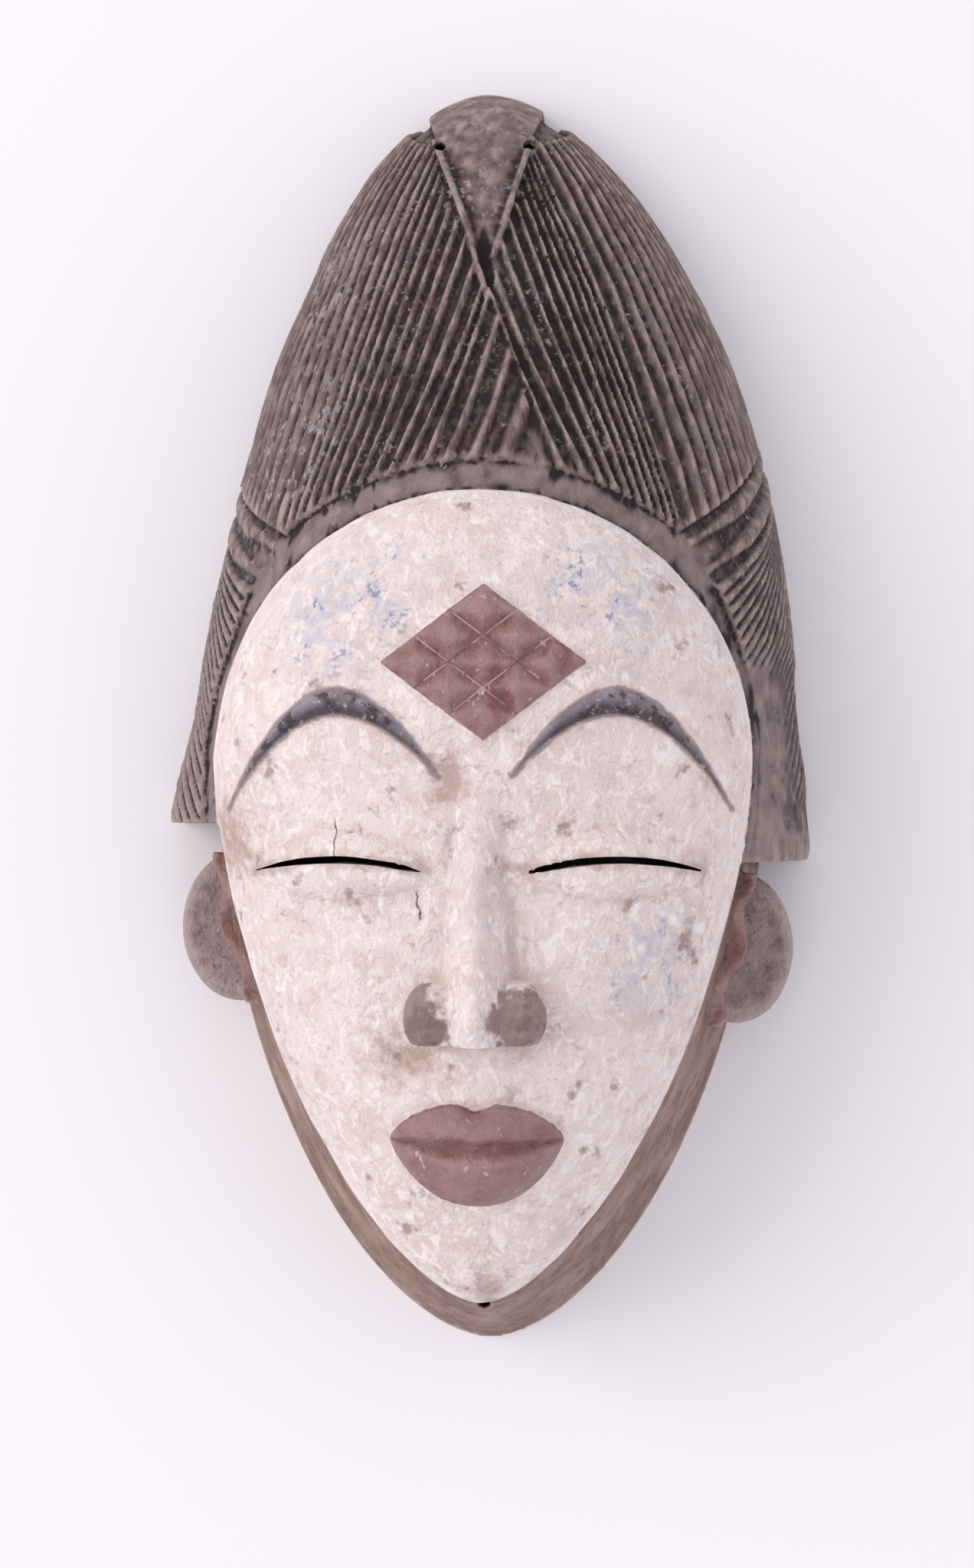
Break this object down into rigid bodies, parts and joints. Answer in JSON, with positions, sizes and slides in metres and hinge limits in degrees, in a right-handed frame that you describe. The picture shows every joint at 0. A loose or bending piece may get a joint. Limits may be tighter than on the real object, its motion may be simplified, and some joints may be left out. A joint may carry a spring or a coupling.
{
  "type": "punu mask",
  "caption": "Carved wooden face mask, hollow behind, with a tall grooved coiffure, side flaps, ears, slit eyes and a raised brow lozenge.",
  "frame": {"origin": "middle of the footprint, on the plane of the back rim that the mask lies on", "axes": "+Z straight out of the face, +Y towards the crown of the hair, +X to the right of someone who looks at the face"},
  "size_m": [0.1563, 0.3071, 0.0982],
  "materials": {
    "painted_wood": "soft carved wood, white kaolin face, dark stained hair, red-brown lips and lozenge, worn and matt"
  },
  "bodies": {
    "root": {"mask": "painted_wood"}
  },
  "joints": []
}
